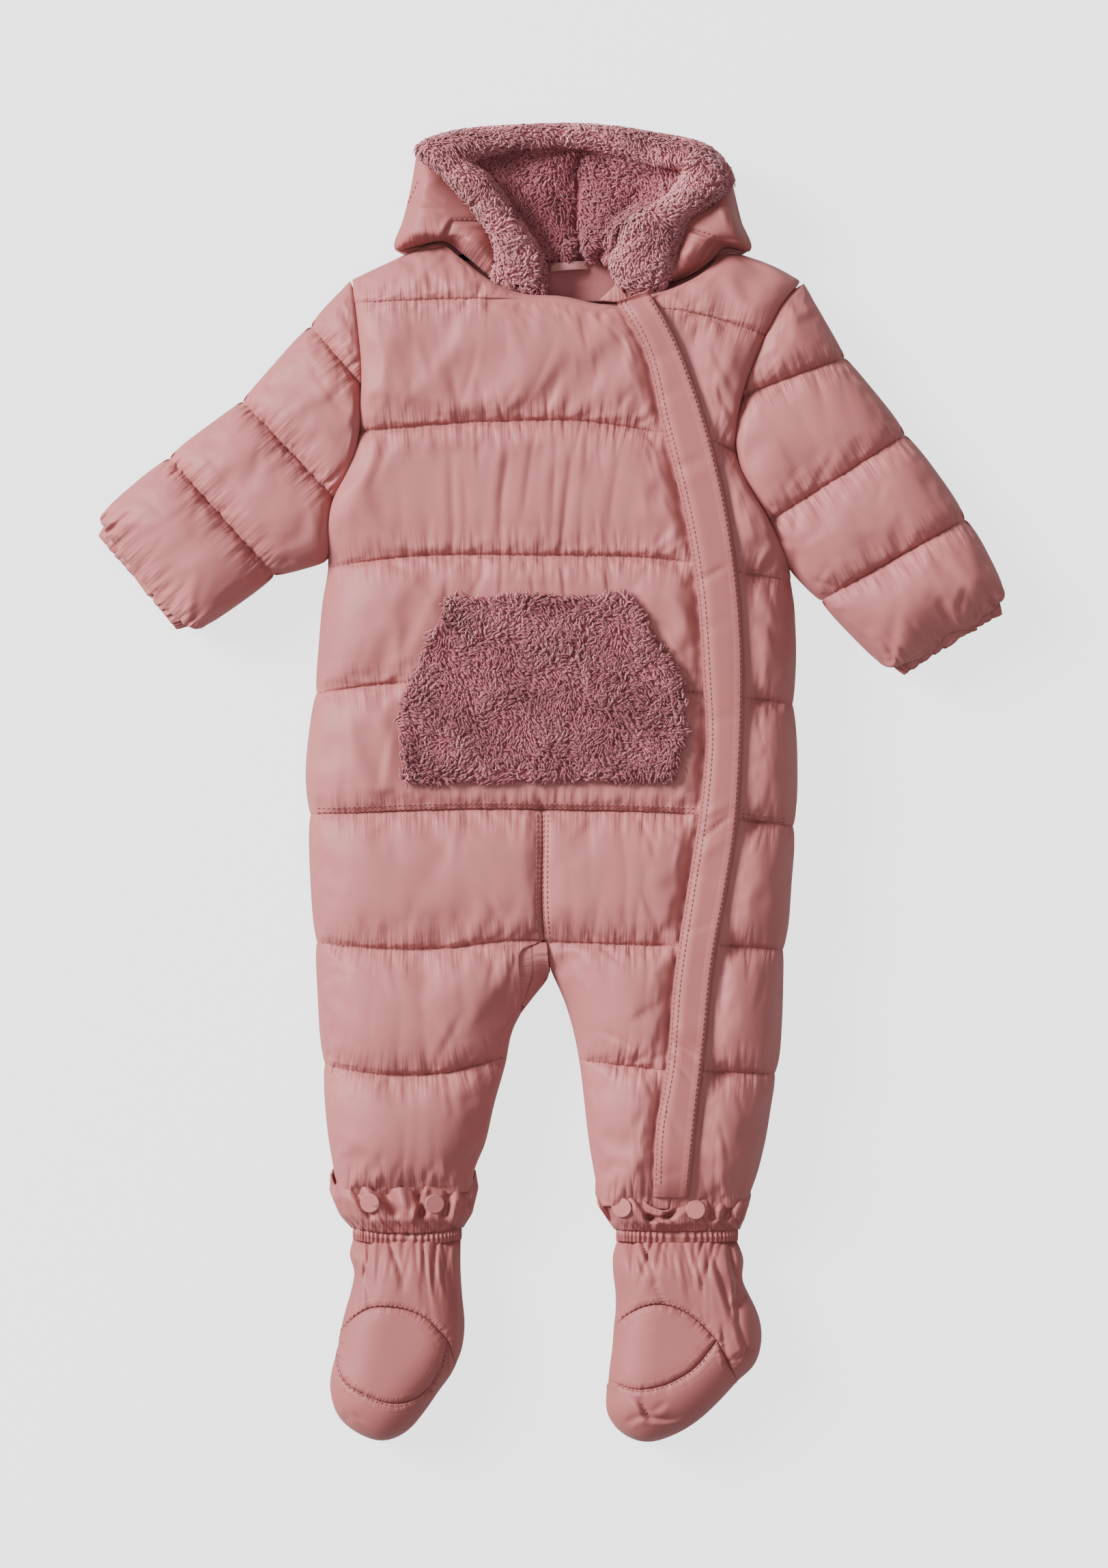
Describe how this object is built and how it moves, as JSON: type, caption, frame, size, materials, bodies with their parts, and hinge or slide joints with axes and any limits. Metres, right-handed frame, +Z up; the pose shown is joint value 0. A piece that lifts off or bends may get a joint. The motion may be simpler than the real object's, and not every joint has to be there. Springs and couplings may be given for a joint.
{
  "type": "baby snowsuit",
  "caption": "Baby's quilted snowsuit laid flat, with a pile-lined hood, slanted zip flap, pile pouch pocket and snapped-on booties.",
  "frame": {"origin": "centre of the footprint, on the surface that the suit lies on", "axes": "+X to the suit's own left sleeve, +Y from the booties to the hood, +Z up from the surface through the front"},
  "size_m": [0.5625, 0.8104, 0.063],
  "materials": {
    "shell": "satin woven nylon, padded",
    "sherpa": "tufted pile",
    "fleece": "short smooth pile",
    "tape": "woven tape",
    "snap_cap": "matt, in the shell's colour"
  },
  "bodies": {
    "root": {"back_upper": "shell", "bootie_left_back": "shell", "bootie_left_elastic": "shell", "bootie_left_ruffle": "shell", "bootie_left_shaft": "shell", "bootie_left_sole": "shell", "bootie_left_toe": "shell", "bootie_left_vamp": "shell", "bootie_right_back": "shell", "bootie_right_elastic": "shell", "bootie_right_ruffle": "shell", "bootie_right_shaft": "shell", "bootie_right_sole": "shell", "bootie_right_toe": "shell", "bootie_right_vamp": "shell", "cuff_left": "shell", "cuff_right": "shell", "front_main": "shell", "front_side": "shell", "gusset": "shell", "hanger_loop": "tape", "hood_back": "shell", "hood_band": "sherpa", "hood_lining_left": "sherpa", "hood_lining_right": "sherpa", "hood_side_left": "shell", "hood_side_right": "shell", "leg_left_back": "shell", "leg_left_front": "shell", "leg_right_back": "shell", "leg_right_front_inner": "shell", "leg_right_front_outer": "shell", "neck_facing": "fleece", "pocket": "sherpa", "sleeve_left_back": "shell", "sleeve_left_front": "shell", "sleeve_right_back": "shell", "sleeve_right_front": "shell", "snap_left_1": "snap_cap", "snap_left_2": "snap_cap", "snap_right_1": "snap_cap", "snap_right_2": "snap_cap", "zip_flap": "shell", "zip_underlap": "shell"}
  },
  "joints": []
}
